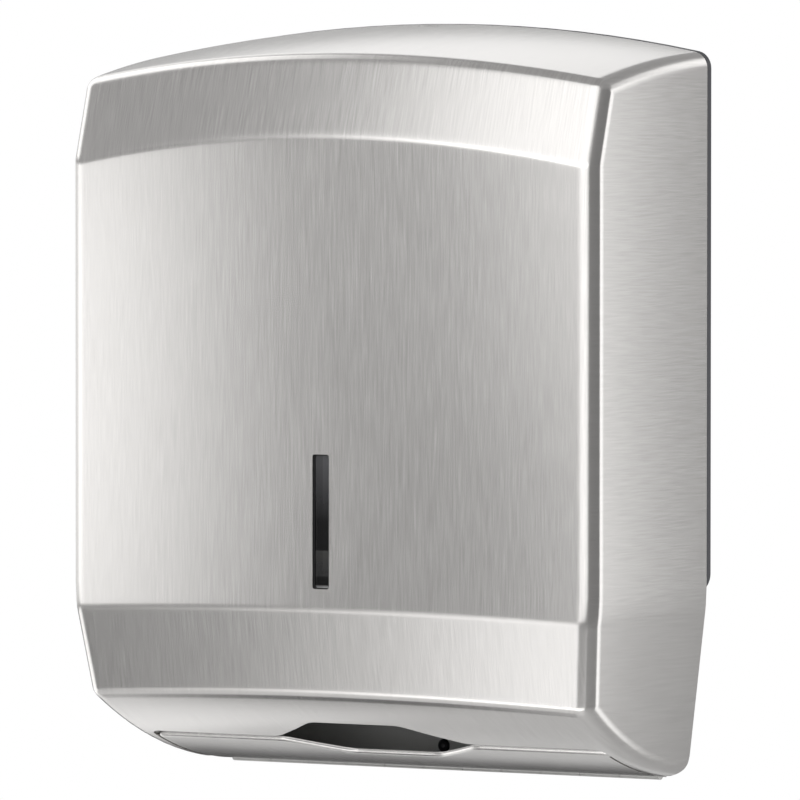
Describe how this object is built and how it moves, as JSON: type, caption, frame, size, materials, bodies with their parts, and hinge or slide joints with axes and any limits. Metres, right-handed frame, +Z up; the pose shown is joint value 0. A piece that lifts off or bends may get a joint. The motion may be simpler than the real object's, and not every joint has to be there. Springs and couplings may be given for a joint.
{
  "type": "paper towel dispenser",
  "caption": "Wall-mounted folded towel dispenser: bowed brushed-steel cover with a viewing slot, hinged at the bottom on a dark back plate, towel opening in its belly.",
  "frame": {"origin": "middle of the four wall screws, on the wall face of the back plate", "axes": "+Z up, +Y into the wall, so the front of the cover faces -Y; +X to the right of a person who faces it"},
  "size_m": [0.28, 0.1134, 0.3471],
  "materials": {
    "steel_skin": "brushed stainless sheet",
    "steel_hinge": "mill stainless",
    "steel_fixings": "bright zinc-plated steel",
    "rivet_alloy": "dull",
    "charcoal_moulding": "fine satin",
    "smoked_pane": "smoked, polished",
    "gasket": "closed-cell foam"
  },
  "bodies": {
    "wall_unit": {"back_plate": "charcoal_moulding", "hinge_leaf_fixed": "steel_hinge", "hinge_pin": "steel_hinge", "fixed_leaf_rivets": "rivet_alloy", "latch_bracket": "steel_fixings", "latch_screws": "steel_fixings", "latch_spring": "steel_fixings"},
    "cover": {"cover_shell": "steel_skin", "exit_lip": "steel_skin", "window_gasket": "gasket", "window_pane": "smoked_pane", "window_studs": "steel_fixings", "window_push_nuts": "steel_fixings", "latch_keeper": "steel_skin", "hinge_leaf_moving": "steel_hinge"},
    "latch_bolt": {"latch_bolt": "steel_fixings", "bolt_clip": "steel_fixings"}
  },
  "joints": [
    {"name": "cover_swing", "type": "hinge", "parent": "wall_unit", "child": "cover", "pos_m": [0, -0.0025, -0.2025], "axis": [1, 0, 0], "range_deg": [0, 95]},
    {"name": "latch_press", "type": "slide", "parent": "wall_unit", "child": "latch_bolt", "axis": [0, 0, -1], "range_m": [0, 0.007], "stiffness_N_per_m": 300, "springref_m": -0.01, "deforming": ["latch_spring"]}
  ]
}
